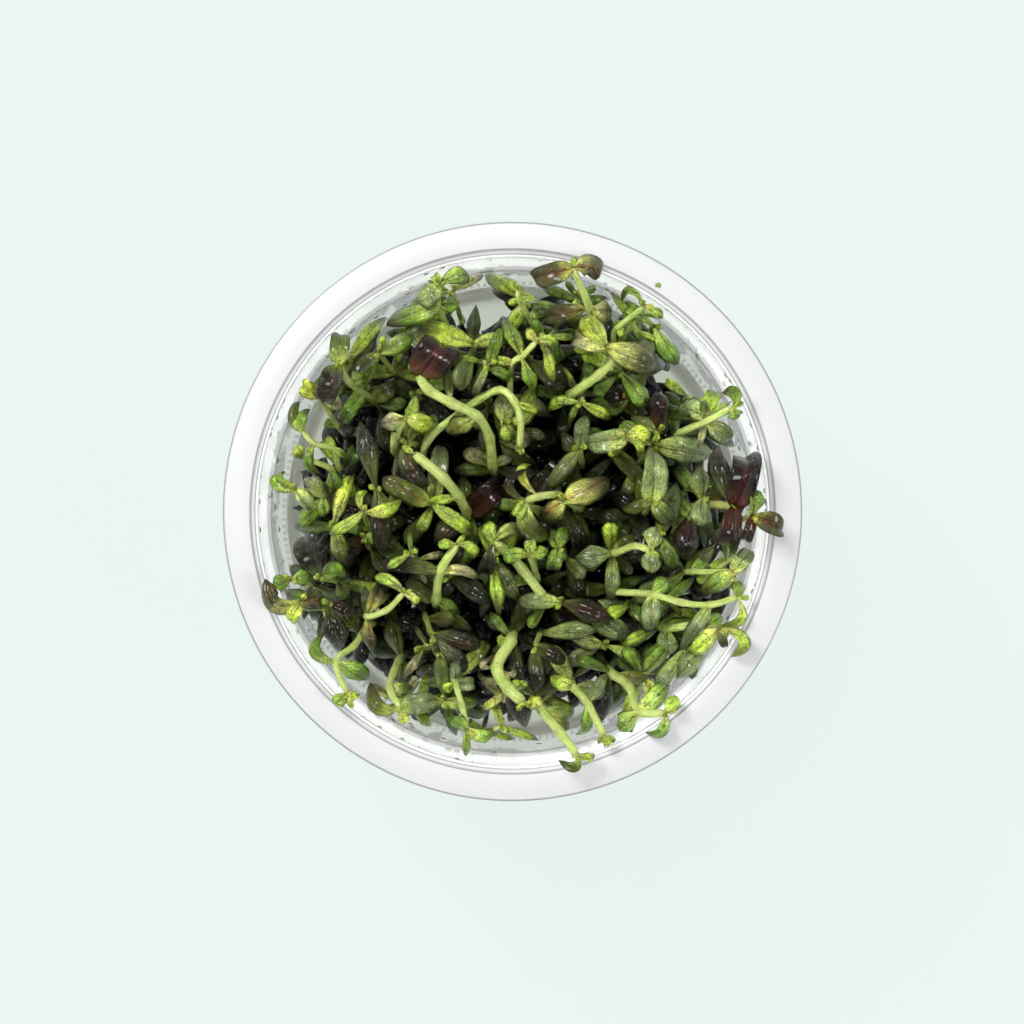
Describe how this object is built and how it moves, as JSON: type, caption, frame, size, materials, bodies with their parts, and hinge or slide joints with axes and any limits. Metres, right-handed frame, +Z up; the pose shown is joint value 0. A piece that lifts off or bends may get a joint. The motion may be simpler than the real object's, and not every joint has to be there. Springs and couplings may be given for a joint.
{
  "type": "aquarium plant in culture cup",
  "caption": "Crowd of small Bacopa salzmannii shoots with paired green and dark leaves, rooted in a gel layer in an open clear round culture cup with a flat flange.",
  "frame": {"origin": "centre of the cup's underside, on the surface it stands on", "axes": "+Z up through the cup's open mouth, +X to the right and +Y to the top of the picture taken from straight above"},
  "size_m": [0.08, 0.08, 0.0545],
  "materials": {
    "clear_plastic": "clear, slightly milky at the flange",
    "gel": "cloudy beige gel, wet",
    "leaf_bright": "bright yellow-green young growth, waxy",
    "leaf_green": "green leaf, waxy",
    "leaf_olive": "olive leaf, waxy",
    "leaf_dark": "dark purple-grey old leaf, glossy",
    "leaf_maroon": "maroon leaf, glossy"
  },
  "bodies": {
    "root": {"cup": "clear_plastic", "gel": "gel", "shoot_01": "leaf_olive", "shoot_02": "leaf_bright", "shoot_03": "leaf_bright", "shoot_04": "leaf_green", "shoot_05": "leaf_green", "shoot_06": "leaf_dark", "shoot_07": "leaf_bright", "shoot_08": "leaf_dark", "shoot_09": "leaf_dark", "shoot_10": "leaf_green", "shoot_11": "leaf_bright", "shoot_12": "leaf_dark", "shoot_13": "leaf_green", "shoot_14": "leaf_green", "shoot_15": "leaf_bright", "shoot_16": "leaf_bright", "shoot_17": "leaf_bright", "shoot_18": "leaf_bright", "shoot_19": "leaf_bright", "shoot_20": "leaf_bright", "shoot_21": "leaf_green", "shoot_22": "leaf_green", "shoot_23": "leaf_green", "shoot_24": "leaf_bright", "shoot_25": "leaf_dark", "shoot_26": "leaf_bright", "shoot_27": "leaf_bright", "shoot_28": "leaf_green", "shoot_29": "leaf_bright", "shoot_30": "leaf_bright", "shoot_31": "leaf_dark", "shoot_32": "leaf_bright", "shoot_33": "leaf_olive", "shoot_34": "leaf_bright", "shoot_35": "leaf_maroon", "shoot_36": "leaf_dark", "shoot_37": "leaf_green", "shoot_38": "leaf_bright", "shoot_39": "leaf_dark", "shoot_40": "leaf_maroon", "shoot_41": "leaf_bright", "shoot_42": "leaf_green", "shoot_43": "leaf_bright", "shoot_44": "leaf_dark", "shoot_45": "leaf_bright", "shoot_46": "leaf_bright", "shoot_47": "leaf_green", "shoot_48": "leaf_bright", "shoot_49": "leaf_green", "shoot_50": "leaf_bright", "shoot_51": "leaf_bright", "shoot_52": "leaf_bright", "shoot_53": "leaf_bright", "shoot_54": "leaf_dark", "shoot_55": "leaf_green", "shoot_56": "leaf_dark", "shoot_57": "leaf_dark", "shoot_58": "leaf_dark"}
  },
  "joints": []
}
